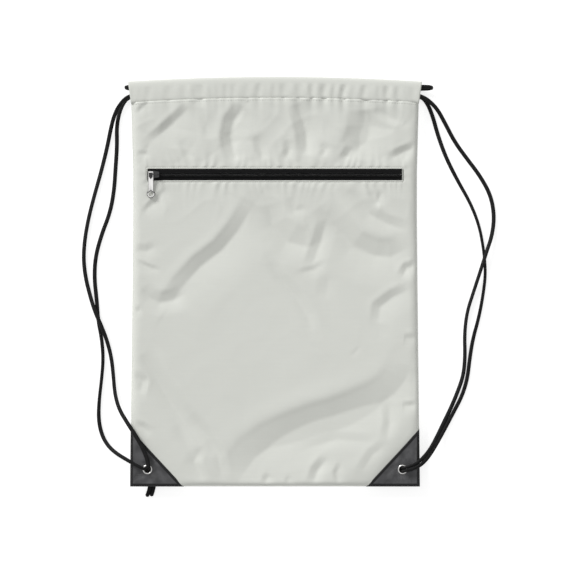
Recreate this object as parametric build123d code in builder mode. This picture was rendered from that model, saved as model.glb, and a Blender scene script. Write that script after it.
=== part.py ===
"""Drawstring backpack lying on its back: fabric body, zip pocket, eyelet corners, two drawcords."""
import math
import os

from build123d import *

os.makedirs("parts", exist_ok=True)

# ---- driving dimensions, millimetres ----
bag_width = 343.0
bag_height = 485.0
fabric = 0.8
leatherette = 1.0
seam_edge = 3.5
slope_width = 16.0

body_top = 19.6
lining_top = 15.4
seam_z = 12.2
channel_height = 26.5
channel_depth = 6.8
channel_length = 347.0

zip_y = 126.5
zip_window_length = 300.4
zip_window_height = 13.5
zip_gap = 1.6
tape_width = 13.0
tape_thickness = 0.6
coil_width = 2.4
coil_height = 1.8

slider_x = -143.1
slider_length = 13.0
slider_width = 8.6
plate = 1.0
pull_x = -146.6
pull_width = 7.8
pull_thickness = 1.2
pull_tilt = 5.0
ring_drop = 22.9
ring_outer_r = 4.7
ring_hole_r = 2.9

patch_width = 63.5
patch_height = 68.5
eyelet_x = 151.0
eyelet_y = -222.3
eyelet_hole_r = 4.0
barrel_r = 4.6
flange_r = 5.7
eyelet_clear_r = 4.7

cord_d = 3.8
cord_offset = 1.92
leg_start_x = 122.4

# ---- derived levels ----
half_w = bag_width / 2
half_h = bag_height / 2
hem_y = half_h - channel_height
back_rim = seam_z
lining_rim = seam_z + fabric
front_rim = seam_z + 2 * fabric
rim_top = seam_z + 3 * fabric
front_channel_z = body_top - channel_depth / 2
back_channel_z = channel_depth / 2
tape_top = body_top - fabric
coil_top = tape_top + coil_height


def pillow_outline(edge, corner_reach, top_y):
    """Six-sided outline of the raised field: straight sides, corners cut along the patches."""
    u = edge
    side_y = -half_h + patch_height * (corner_reach - u / patch_width)
    base_x = half_w - patch_width * (corner_reach - u / patch_height)
    side_x = half_w - edge
    return [
        (-side_x, top_y),
        (-side_x, side_y),
        (-base_x, -half_h + edge),
        (base_x, -half_h + edge),
        (side_x, side_y),
        (side_x, top_y),
    ]


def raised_field(foot_z, crown_z, top_y):
    """Lofted block from the seam line to the flat crown of a panel."""
    with BuildPart() as field:
        with BuildSketch(Plane.XY.offset(foot_z)):
            with BuildLine():
                Polyline(pillow_outline(seam_edge, 1.02, top_y), close=True)
            make_face()
        with BuildSketch(Plane.XY.offset(crown_z)):
            with BuildLine():
                Polyline(pillow_outline(seam_edge + slope_width, 1.5, top_y), close=True)
            make_face()
        loft()
    return field.part


def tray_panel(rim_z, crown_z):
    """Fabric panel: flat sewn edge at rim_z, sloping to a crown whose lower face is at crown_z."""
    if crown_z > rim_z:
        outer = raised_field(rim_z + fabric, crown_z + fabric, hem_y)
        inner = raised_field(rim_z, crown_z, hem_y + seam_edge)
    else:
        outer = raised_field(rim_z, crown_z, hem_y)
        inner = raised_field(rim_z + fabric, crown_z + fabric, hem_y + seam_edge)
    with BuildPart() as panel:
        with BuildSketch(Plane.XY.offset(rim_z)):
            with Locations((0, (hem_y - half_h) / 2)):
                Rectangle(bag_width, hem_y + half_h)
        extrude(amount=fabric)
        add(outer)
        add(inner, mode=Mode.SUBTRACT)
        with Locations((-eyelet_x, eyelet_y, rim_z), (eyelet_x, eyelet_y, rim_z)):
            Cylinder(eyelet_clear_r, 4 * fabric, mode=Mode.SUBTRACT)
    return panel.part


def faceted(cloth):
    """The panel divided along the edges of its flat crown, so that each facet is a solid of its own."""
    crown = pillow_outline(seam_edge + slope_width, 1.5, hem_y)
    cuts = []
    for start, end in zip(crown, crown[1:]):
        run = Vector(*end) - Vector(*start)
        cuts.append(Plane(origin=(*start, 0), x_dir=run.normalized(), z_dir=(-run.Y, run.X, 0)))
    with BuildPart() as panel:
        add(cloth)
        for cut in cuts:
            split(bisect_by=cut, keep=Keep.BOTH)
    return panel.part


def save(part, name):
    """Label a finished piece and write it."""
    part.label = name
    export_step(part, f"parts/{name}.step")


def block(x0, x1, y0, y1, z0, z1):
    """Straight block between two corners."""
    with BuildPart() as piece:
        with BuildSketch(Plane.XY.offset(z0)):
            with Locations(((x0 + x1) / 2, (y0 + y1) / 2)):
                Rectangle(x1 - x0, y1 - y0)
        extrude(amount=z1 - z0)
    return piece.part


# ---- fabric panels ----
# The front panel is one piece with a slit window for the zip, its edges folded under.
front_cloth = tray_panel(front_rim, body_top - fabric)
with BuildPart() as front_panel:
    add(front_cloth)
    with Locations((0, zip_y, body_top)):
        Box(zip_window_length, zip_window_height, 4 * fabric, mode=Mode.SUBTRACT)
save(front_panel.part, "front_panel")

save(faceted(tray_panel(lining_rim, lining_top - fabric)), "pocket_lining")
save(faceted(tray_panel(back_rim, 0)), "back_panel")

# ---- hem channels ----
# Each hem is turned over into a flat tube, open at both ends, that the cords run through.
for channel_name, channel_z in (("front_channel", front_channel_z), ("back_channel", back_channel_z)):
    with BuildPart() as channel:
        with BuildSketch(Plane.YZ.offset(-channel_length / 2)):
            with Locations((half_h - channel_height / 2, channel_z)):
                RectangleRounded(channel_height, channel_depth, 3.3)
                RectangleRounded(
                    channel_height - 2 * fabric, channel_depth - 2 * fabric, 2.5, mode=Mode.SUBTRACT
                )
        extrude(amount=channel_length)
    save(channel.part, channel_name)

# ---- sewn lines and seam allowances ----
stitch = 0.6
stitch_rise = 0.3
hem_stitch_y = hem_y - 2.0
crown_x = half_w - seam_edge - slope_width
save(
    block(-crown_x, crown_x, hem_stitch_y, hem_stitch_y + stitch, body_top, body_top + stitch_rise),
    "front_hem_stitching",
)
save(
    block(-crown_x, crown_x, hem_stitch_y, hem_stitch_y + stitch, fabric, fabric + stitch_rise),
    "back_hem_stitching",
)

allowance_in = seam_edge + 4.5
allowance_out = seam_edge + 2.0
for side, side_name in ((-1, "left_side_overlock"), (1, "right_side_overlock")):
    edges = sorted((side * (half_w - allowance_in), side * (half_w - allowance_out)))
    strip = block(edges[0], edges[1], -165, 205, seam_z - 0.2, seam_z + 0.9)
    save(strip, side_name)
save(
    block(-100, 100, -half_h + allowance_out, -half_h + allowance_in, seam_z - 0.2, seam_z + 0.9),
    "bottom_overlock",
)

# ---- zip ----
# Two tapes under the window's folded edges, each with one half of the coil on its face.
tape_half = zip_window_length / 2 + 1.3
coil_half = zip_window_length / 2 - 0.6
inner_edge = zip_gap / 2
for side, half_name in ((1, "upper"), (-1, "lower")):
    near = zip_y + side * (inner_edge + 0.1)
    far = near + side * tape_width
    tape_y = sorted((near, far))
    tape = block(-tape_half, tape_half, tape_y[0], tape_y[1], tape_top - tape_thickness, tape_top)
    save(tape, f"zip_{half_name}_tape")
    coil_near = zip_y + side * inner_edge
    coil_y = sorted((coil_near, coil_near + side * coil_width))
    coil = block(-coil_half, coil_half, coil_y[0], coil_y[1], tape_top, coil_top)
    save(coil, f"zip_{half_name}_coil")

stitch_line = zip_window_height / 2 + 1.9
with BuildPart() as zip_stitching:
    with BuildSketch(Plane.XY.offset(body_top)):
        with Locations((0, zip_y + stitch_line), (0, zip_y - stitch_line)):
            Rectangle(zip_window_length + 2.0, stitch)
    extrude(amount=stitch_rise)
save(zip_stitching.part, "zip_stitching")

for side, tack_name in ((-1, "zip_left_bar_tack"), (1, "zip_right_bar_tack")):
    tack_x = sorted((side * (zip_window_length / 2 + 0.3), side * (zip_window_length / 2 + 1.5)))
    save(block(tack_x[0], tack_x[1], zip_y - 6.5, zip_y + 6.5, body_top, body_top + 0.4), tack_name)

# ---- slider ----
# Two plates joined by a post in the gap between the coil halves; the top plate's flanges
# straddle the coil. The nose points left and leads as the zip closes.
bottom_top = tape_top - tape_thickness - 0.3
top_bottom = coil_top + 0.3
nose_x = slider_x - slider_length / 2
tail_x = slider_x + slider_length / 2
half_s = slider_width / 2


# Plate outline: broad nose, narrower tail.
slider_outline = [
    (nose_x, zip_y - half_s + 1.6),
    (nose_x + 1.6, zip_y - half_s),
    (nose_x + 7.0, zip_y - half_s),
    (tail_x, zip_y - half_s + 1.0),
    (tail_x, zip_y + half_s - 1.0),
    (nose_x + 7.0, zip_y + half_s),
    (nose_x + 1.6, zip_y + half_s),
    (nose_x, zip_y + half_s - 1.6),
]

with BuildPart() as slider_body:
    for plate_z in (bottom_top - plate, top_bottom):
        with BuildSketch(Plane.XY.offset(plate_z)):
            with BuildLine():
                Polyline(slider_outline, close=True)
            make_face()
        extrude(amount=plate)
    with BuildSketch(Plane.XY.offset(bottom_top)):
        with Locations((nose_x + 2.5, zip_y)):
            Rectangle(3.0, 1.0)
    extrude(amount=top_bottom - bottom_top)
    with BuildSketch(Plane.XY.offset(tape_top + 0.3)):
        with Locations((slider_x, zip_y + half_s - 0.6), (slider_x, zip_y - half_s + 0.6)):
            Rectangle(slider_length - 5.0, 0.6)
    extrude(amount=top_bottom - tape_top - 0.3)
    top_rim = slider_body.faces().sort_by(Axis.Z)[-1].edges()
    fillet(top_rim, 0.4)
save(slider_body.part, "slider_body")

# The bail is a low arch over the top plate, from nose to tail.
bail_floor = top_bottom + plate
bail_height = 3.7
bail_bar = 1.1
bail_x0 = pull_x - bail_bar / 2
bail_x1 = tail_x - 1.2
with BuildPart() as slider_bail:
    with BuildSketch(Plane.XZ.offset(-zip_y - 0.7)):
        with Locations(((bail_x0 + bail_x1) / 2, bail_floor + bail_height / 2)):
            Rectangle(bail_x1 - bail_x0, bail_height)
        with Locations(((bail_x0 + bail_x1) / 2, bail_floor + (bail_height - bail_bar) / 2)):
            Rectangle(bail_x1 - bail_x0 - 2 * bail_bar, bail_height - bail_bar, mode=Mode.SUBTRACT)
    extrude(amount=1.4)
    crown_edges = slider_bail.edges().filter_by(Axis.Y).group_by(Axis.Z)[-1]
    fillet(crown_edges, 0.8)
save(slider_bail.part, "slider_bail")

# The pull tab hangs round the arch's nose leg and rests its ring near the cloth.
pull_mid_z = bail_floor + 1.3
pull_plane = Plane(
    origin=(pull_x, zip_y, pull_mid_z),
    x_dir=(1, 0, 0),
    z_dir=(0, -math.sin(math.radians(pull_tilt)), math.cos(math.radians(pull_tilt))),
)
ring_y = -ring_drop / math.cos(math.radians(pull_tilt))
half_p = pull_width / 2
with BuildPart() as pull_tab:
    with BuildSketch(pull_plane.offset(-pull_thickness / 2)):
        with BuildLine():
            Polyline(
                [
                    (-half_p + 1.2, half_p - 0.2),
                    (half_p - 1.2, half_p - 0.2),
                    (half_p, half_p - 1.6),
                    (half_p, -4.5),
                    (half_p - 0.8, -7.0),
                    (half_p - 0.8, ring_y + 3.0),
                    (-half_p + 0.8, ring_y + 3.0),
                    (-half_p + 0.8, -7.0),
                    (-half_p, -4.5),
                    (-half_p, half_p - 1.6),
                ],
                close=True,
            )
        make_face()
        with Locations((0, ring_y)):
            Circle(ring_outer_r)
            Circle(ring_hole_r, mode=Mode.SUBTRACT)
        with BuildLine():
            Polyline([(-2.2, 2.1), (2.2, 2.1), (2.2, -2.6), (0, -5.6), (-2.2, -2.6)], close=True)
        make_face(mode=Mode.SUBTRACT)
    extrude(amount=pull_thickness)
save(pull_tab.part, "pull_tab")

# ---- corner patches and eyelets ----
# A leatherette triangle on each face of both lower corners, sewn in with the side and bottom seams.
patch_stitch_in = 2.4


def corner_triangle(side, inset):
    """Corners of the right triangle that fills a lower corner, its edges moved in by inset."""
    slant = math.hypot(patch_width, patch_height)
    leg_x = patch_width - inset * (1 + (slant + patch_width) / patch_height)
    leg_y = leg_x * patch_height / patch_width
    corner_x = half_w - inset
    corner_y = -half_h + inset
    return [
        (side * corner_x, corner_y),
        (side * (corner_x - leg_x), corner_y),
        (side * corner_x, corner_y + leg_y),
    ]


for side, side_name in ((-1, "left"), (1, "right")):
    for face_name, patch_z, thread_z in (
        ("front", rim_top, rim_top + leatherette),
        ("back", seam_z - leatherette, seam_z - leatherette - stitch_rise),
    ):
        with BuildPart() as patch:
            with BuildSketch(Plane.XY.offset(patch_z)):
                with BuildLine():
                    Polyline(corner_triangle(side, 0), close=True)
                make_face()
                with Locations((side * eyelet_x, eyelet_y)):
                    Circle(eyelet_clear_r, mode=Mode.SUBTRACT)
            extrude(amount=leatherette)
        save(patch.part, f"{face_name}_{side_name}_patch")
        with BuildPart() as inner_cut:
            with BuildSketch(Plane.XY.offset(thread_z)):
                with BuildLine():
                    Polyline(corner_triangle(side, patch_stitch_in + stitch), close=True)
                make_face()
            extrude(amount=stitch_rise)
        with BuildPart() as patch_stitching:
            with BuildSketch(Plane.XY.offset(thread_z)):
                with BuildLine():
                    Polyline(corner_triangle(side, patch_stitch_in), close=True)
                make_face()
            extrude(amount=stitch_rise)
            add(inner_cut.part, mode=Mode.SUBTRACT)
        save(patch_stitching.part, f"{face_name}_{side_name}_patch_stitching")

    washer_z = seam_z - leatherette - 0.8
    flange_z = rim_top + leatherette
    with BuildPart(Plane.XY) as eyelet:
        with BuildSketch(Plane.XY.offset(washer_z)):
            with Locations((side * eyelet_x, eyelet_y)):
                Circle(barrel_r)
                Circle(eyelet_hole_r, mode=Mode.SUBTRACT)
        extrude(amount=flange_z - washer_z)
        with BuildSketch(Plane.XY.offset(flange_z)):
            with Locations((side * eyelet_x, eyelet_y)):
                Circle(flange_r)
                Circle(eyelet_hole_r, mode=Mode.SUBTRACT)
        extrude(amount=0.7)
        fillet(eyelet.edges().group_by(Axis.Z)[-1], 0.25)
    save(eyelet.part, f"{side_name}_eyelet")
    with BuildPart() as washer:
        with BuildSketch(Plane.XY.offset(washer_z)):
            with Locations((side * eyelet_x, eyelet_y)):
                Circle(flange_r + 0.2)
                Circle(barrel_r + 0.05, mode=Mode.SUBTRACT)
        extrude(amount=0.8)
    save(washer.part, f"{side_name}_eyelet_washer")

# ---- drawcords ----
# Each cord starts in a knot behind its eyelet. Its two strands come up through the eyelet, lie
# beside the bag, enter the two hem channels on that side and meet in a loop at the far side.
knot_z0 = 0.2
knot_top = 10.2
strand_z0 = 7.4
exit_x = channel_length / 2
eyelet_top_z = 20.4


def channel_run(side, z, leg_y):
    """The strand's hidden run, from its own side of a channel to the loop's leg at the far side."""
    return [
        (side * exit_x, 220.8, z),
        (side * 150, 221.4, z),
        (side * 112, 222.6, z),
        (side * 66, 221.2, z),
        (side * 22, 222.4, z),
        (-side * 24, leg_y - 1.2, z),
        (-side * 73, leg_y + 0.5, z),
        (-side * (leg_start_x - 0.4), leg_y, z),
    ]


front_leg_y = 231.0
back_leg_y = 229.0

left_front_route = [
    (-eyelet_x + cord_offset, eyelet_y, strand_z0),
    (-eyelet_x + cord_offset, eyelet_y, eyelet_top_z),
    (-150.4, -211.0, 20.8),
    (-156.0, -197.0, 21.0),
    (-164.5, -182.0, 20.8),
    (-174.5, -167.0, 19.6),
    (-185.0, -151.0, 11.6),
    (-190.5, -133.0, 4.0),
    (-192.2, -112.0, 2.1),
    (-194.6, -90.0, 2.0),
    (-199.8, -69.5, 3.6),
    (-206.4, -52.0, 6.9),
    (-214.2, -34.5, 6.9),
    (-220.6, -14.0, 3.6),
    (-225.6, 6.0, 2.0),
    (-227.9, 28.0, 1.95),
    (-226.2, 51.5, 1.95),
    (-221.4, 77.5, 1.95),
    (-214.6, 103.5, 1.95),
    (-206.2, 133.0, 1.95),
    (-199.6, 160.0, 2.0),
    (-195.6, 180.0, 3.2),
    (-191.6, 195.0, 7.6),
    (-185.4, 208.0, 13.4),
] + channel_run(-1, front_channel_z, front_leg_y)

left_back_route = [
    (-eyelet_x - cord_offset, eyelet_y, strand_z0),
    (-eyelet_x - cord_offset, eyelet_y, eyelet_top_z),
    (-163.4, -217.4, 20.9),
    (-174.5, -210.8, 20.2),
    (-187.0, -204.0, 14.8),
    (-198.0, -195.5, 7.0),
    (-206.0, -182.5, 2.8),
    (-210.0, -164.0, 2.0),
    (-209.2, -141.0, 1.95),
    (-206.2, -116.0, 1.95),
    (-204.2, -92.0, 1.95),
    (-206.0, -68.0, 1.95),
    (-210.4, -46.0, 1.95),
    (-212.0, -22.0, 1.95),
    (-215.0, 4.0, 1.95),
    (-213.6, 30.0, 1.95),
    (-206.0, 57.0, 1.95),
    (-196.2, 82.0, 1.95),
    (-191.4, 108.0, 1.95),
    (-189.6, 136.0, 1.95),
    (-187.8, 163.0, 1.95),
    (-188.4, 187.0, 2.1),
    (-183.0, 208.5, 2.9),
] + channel_run(-1, back_channel_z, back_leg_y)

right_front_route = [
    (eyelet_x, eyelet_y + cord_offset, strand_z0),
    (eyelet_x, eyelet_y + cord_offset, eyelet_top_z),
    (163.2, -217.6, 20.9),
    (173.6, -210.0, 20.2),
    (183.6, -199.0, 14.4),
    (192.4, -184.0, 6.4),
    (200.8, -167.0, 2.6),
    (209.0, -150.5, 2.0),
    (217.0, -131.5, 1.95),
    (224.2, -111.0, 1.95),
    (226.0, -88.0, 1.95),
    (225.2, -62.0, 1.95),
    (228.2, -36.0, 1.95),
    (236.0, -12.0, 2.8),
    (244.0, 13.0, 6.6),
    (250.8, 34.5, 6.9),
    (258.0, 55.0, 3.8),
    (260.8, 78.0, 2.1),
    (256.6, 102.5, 1.95),
    (244.0, 125.5, 1.95),
    (228.0, 146.5, 1.95),
    (213.6, 166.0, 2.6),
    (202.4, 187.0, 6.8),
    (191.0, 207.0, 13.0),
] + channel_run(1, front_channel_z, front_leg_y)

right_back_route = [
    (eyelet_x, eyelet_y - cord_offset, strand_z0),
    (eyelet_x, eyelet_y - cord_offset, eyelet_top_z),
    (163.2, -223.2, 20.9),
    (175.4, -217.0, 20.2),
    (186.0, -206.0, 15.0),
    (195.6, -190.5, 7.0),
    (204.2, -173.0, 2.8),
    (213.4, -155.5, 2.0),
    (222.4, -136.0, 1.95),
    (228.8, -115.0, 1.95),
    (231.4, -92.0, 1.95),
    (235.2, -68.0, 1.95),
    (242.0, -44.0, 1.95),
    (247.4, -16.0, 1.95),
    (250.6, 11.0, 1.95),
    (247.8, 40.0, 1.95),
    (242.4, 68.0, 1.95),
    (231.8, 94.5, 1.95),
    (216.8, 120.5, 1.95),
    (203.0, 148.0, 1.95),
    (193.6, 174.0, 1.95),
    (187.4, 197.0, 2.4),
    (181.2, 212.0, 3.2),
] + channel_run(1, back_channel_z, back_leg_y)


def loop_route(side, reach):
    """The bight between a cord's two legs, just outside the channels' ends."""
    x = side * (exit_x + reach)
    return [
        (side * leg_start_x, front_leg_y, front_channel_z),
        (x - side * 6.2, front_leg_y, front_channel_z),
        (x, front_leg_y - 1.1, front_channel_z - 3.6),
        (x, back_leg_y + 1.1, back_channel_z + 3.6),
        (x - side * 6.2, back_leg_y, back_channel_z),
        (side * leg_start_x, back_leg_y, back_channel_z),
    ]


def arc_radii(points):
    """Radius at each inner point: 0.45 of the shorter run over the tangent of half the turn."""
    radii = []
    for before, here, after in zip(points, points[1:], points[2:]):
        arriving = Vector(here) - Vector(before)
        leaving = Vector(after) - Vector(here)
        half_turn = math.radians(arriving.get_angle(leaving) / 2)
        shorter = min(arriving.length, leaving.length)
        radii.append(0.45 * shorter / math.tan(half_turn))
    return radii


def cord_tube(points, name):
    """Round tube along straight runs joined by tangent arcs."""
    radii = arc_radii(points)
    with BuildPart() as tube:
        with BuildLine() as route:
            FilletPolyline(*points, radius=radii)
        path = route.wires()[0]
        with BuildSketch(Plane(origin=path @ 0, z_dir=path % 0)):
            Circle(cord_d / 2)
        sweep(path=path)
    expected = math.pi * (cord_d / 2) ** 2 * path.length
    smallest = [round(radius, 1) for radius in sorted(radii)[:4]]
    print(name, "length", round(path.length, 1), "smallest radii", smallest)
    print(name, "volume over section x length", round(tube.part.volume / expected, 4))
    return tube.part


save(cord_tube(left_front_route, "left_front_strand"), "left_front_strand")
save(cord_tube(left_back_route, "left_back_strand"), "left_back_strand")
save(cord_tube(right_front_route, "right_front_strand"), "right_front_strand")
save(cord_tube(right_back_route, "right_back_strand"), "right_back_strand")
save(cord_tube(loop_route(1, 12.6), "left_cord_loop"), "left_cord_loop")
save(cord_tube(loop_route(-1, 8.6), "right_cord_loop"), "right_cord_loop")

# The knot of each cord, and the two cut tails that leave it.
left_tail_routes = (
    [(-149.5, -226.0, 4.4), (-145.6, -240.0, 3.4), (-152.6, -255.6, 2.0)],
    [(-145.6, -226.0, 3.6), (-141.0, -240.0, 2.6), (-147.6, -255.0, 2.0)],
)
right_tail_routes = (
    [(149.0, -219.5, 4.4), (143.0, -210.0, 3.0), (134.0, -204.6, 2.0)],
    [(147.0, -223.5, 3.6), (138.4, -216.0, 2.6), (129.0, -211.4, 2.0)],
)
for side, side_name, tail_routes in ((-1, "left", left_tail_routes), (1, "right", right_tail_routes)):
    with BuildPart() as knot:
        with BuildSketch(Plane.XY.offset(knot_z0)):
            with Locations((side * eyelet_x, eyelet_y)):
                SlotOverall(17.0, 13.0)
        extrude(amount=knot_top - knot_z0)
        fillet(knot.edges().group_by(Axis.Z)[-1], 3.4)
        fillet(knot.edges().group_by(Axis.Z)[0], 3.4)
    save(knot.part, f"{side_name}_knot")
    with BuildPart() as tails:
        for tail_route in tail_routes:
            add(cord_tube(tail_route, f"{side_name}_tail"))
    save(tails.part, f"{side_name}_cord_tails")
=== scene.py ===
"""Drawstring backpack on its back: satin polyester, front zip pocket, leatherette corners, cords."""
import math

import bmesh
import bpy
import numpy as np
from mathutils import Matrix, Vector


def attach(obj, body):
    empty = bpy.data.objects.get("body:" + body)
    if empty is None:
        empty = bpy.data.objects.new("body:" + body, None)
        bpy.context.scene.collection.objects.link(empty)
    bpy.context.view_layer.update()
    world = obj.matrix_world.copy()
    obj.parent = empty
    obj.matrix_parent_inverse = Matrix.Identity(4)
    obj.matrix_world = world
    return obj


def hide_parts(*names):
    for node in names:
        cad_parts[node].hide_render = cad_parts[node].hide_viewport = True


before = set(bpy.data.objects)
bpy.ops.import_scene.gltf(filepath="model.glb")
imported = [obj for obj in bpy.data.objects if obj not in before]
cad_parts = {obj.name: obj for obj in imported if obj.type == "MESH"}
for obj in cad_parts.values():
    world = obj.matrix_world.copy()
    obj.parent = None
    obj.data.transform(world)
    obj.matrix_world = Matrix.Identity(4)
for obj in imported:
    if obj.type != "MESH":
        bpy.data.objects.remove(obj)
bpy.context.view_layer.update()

# ---- camera ----
# A long lens straight above the bag, as for a catalogue flat lay.
view_width = 0.6826
view_centre = (0.0154, -0.0075)
camera_data = bpy.data.cameras.new("camera")
camera_data.lens = 150
camera_data.sensor_width = 36
camera = bpy.data.objects.new("camera", camera_data)
camera.location = (*view_centre, view_width * camera_data.lens / camera_data.sensor_width + 0.012)
bpy.context.scene.collection.objects.link(camera)
bpy.context.scene.camera = camera
bpy.context.scene.view_settings.view_transform = "Standard"


# ---- drawcords ----
# Flat braided polyester cord, 5 mm wide and 3.5 mm thick. Each cord is knotted behind its corner
# eyelet, comes up through it as two strands, and runs through both hems to a loop at the far side.
class Value:
    """One shader socket. Arithmetic on it adds Math nodes."""

    def __init__(self, shade, socket):
        self.shade = shade
        self.socket = socket

    def math(self, operation, *others):
        inputs = {number: other for number, other in enumerate((self, *others))}
        return self.shade.add("ShaderNodeMath", {"operation": operation}, inputs)

    def __add__(self, other):
        return self.math("ADD", other)

    def __radd__(self, other):
        return self.math("ADD", other)

    def __sub__(self, other):
        return self.math("SUBTRACT", other)

    def __rsub__(self, other):
        return (self * -1) + other

    def __mul__(self, other):
        return self.math("MULTIPLY", other)

    def __rmul__(self, other):
        return self.math("MULTIPLY", other)


class Shade:
    """A material in the making: adds nodes, and ends in a Principled BSDF."""

    def __init__(self, name, **constants):
        self.material = bpy.data.materials.new(name)
        self.material.use_nodes = True
        self.tree = self.material.node_tree
        self.bsdf = self.tree.nodes["Principled BSDF"]
        for key, value in constants.items():
            self.bsdf.inputs[key.replace("_", " ")].default_value = value

    def add(self, kind, settings=None, inputs=None, output=0):
        node = self.tree.nodes.new(kind)
        for key, value in (settings or {}).items():
            setattr(node, key, value)
        for key, value in (inputs or {}).items():
            if isinstance(value, Value):
                self.tree.links.new(value.socket, node.inputs[key])
            else:
                node.inputs[key].default_value = value
        return Value(self, node.outputs[output])

    def ramp(self, factor, stops):
        node = self.tree.nodes.new("ShaderNodeValToRGB")
        while len(node.color_ramp.elements) < len(stops):
            node.color_ramp.elements.new(1.0)
        for element, (position, colour) in zip(node.color_ramp.elements, stops):
            element.position = position
            element.color = colour
        self.tree.links.new(factor.socket, node.inputs["Fac"])
        return Value(self, node.outputs["Color"])

    def position(self):
        return self.add("ShaderNodeTexCoord", output="Object")

    def axes(self, vector):
        split = self.tree.nodes.new("ShaderNodeSeparateXYZ")
        self.tree.links.new(vector.socket, split.inputs[0])
        return [Value(self, socket) for socket in split.outputs]

    def noise(self, vector, scale, detail=3.0, roughness=0.5):
        inputs = {"Vector": vector, "Scale": scale, "Detail": detail, "Roughness": roughness}
        return self.add("ShaderNodeTexNoise", None, inputs)

    def drive(self, name, value):
        self.tree.links.new(value.socket, self.bsdf.inputs[name])

    def bump(self, height, distance, strength=1.0):
        inputs = {"Height": height, "Distance": distance, "Strength": strength}
        node = self.add("ShaderNodeBump", None, inputs)
        self.tree.links.new(node.socket, self.bsdf.inputs["Normal"])


def black_cord_material():
    """Soft braided polyester: dull black, with the fine fibres of each carrier running with the lay."""
    shade = Shade(
        "black_cord", Roughness=0.7, Specular_IOR_Level=0.22, Sheen_Weight=0.04, Sheen_Roughness=0.4
    )
    along, around, _ = shade.axes(shade.add("ShaderNodeUVMap"))
    fibres = ((along * 9000 + around * 40).math("SINE") + (along * 9000 - around * 40).math("SINE")) * 0.25
    mottle = shade.noise(shade.position(), 260, 4.0)
    blacks = [(0.25, (0.003, 0.003, 0.0032, 1)), (0.8, (0.011, 0.011, 0.0115, 1))]
    shade.drive("Base Color", shade.ramp(mottle, blacks))
    shade.bump(fibres + mottle, 0.00012, 0.7)
    return shade.material


cord_black = black_cord_material()
cord_width = 0.0050
cord_thickness = 0.0035
tube_radius = 0.0019
carriers = 8


def nurbs_line(name, points):
    """The smooth line a cord follows: a NURBS curve with the route's points as its control points."""
    curve = bpy.data.curves.new(name + "_line", "CURVE")
    curve.dimensions = "3D"
    spline = curve.splines.new("NURBS")
    spline.points.add(len(points) - 1)
    for knot_point, point in zip(spline.points, points):
        knot_point.co = (*point, 1)
    spline.order_u = 3
    spline.use_endpoint_u = True
    spline.resolution_u = 24
    carrier = bpy.data.objects.new(name + "_line", curve)
    line = bpy.data.meshes.new_from_object(carrier)
    found = np.array([vertex.co[:] for vertex in line.vertices])
    bpy.data.objects.remove(carrier)
    bpy.data.curves.remove(curve)
    bpy.data.meshes.remove(line)
    return found


def even_steps(line, step):
    """The same line with its points evenly spaced."""
    lengths = np.concatenate([[0], np.cumsum(np.linalg.norm(np.diff(line, axis=0), axis=1))])
    count = max(12, round(lengths[-1] / step))
    stations = np.linspace(0, lengths[-1], count + 1)
    return np.stack([np.interp(stations, lengths, line[:, axis]) for axis in range(3)], axis=1), stations


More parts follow.
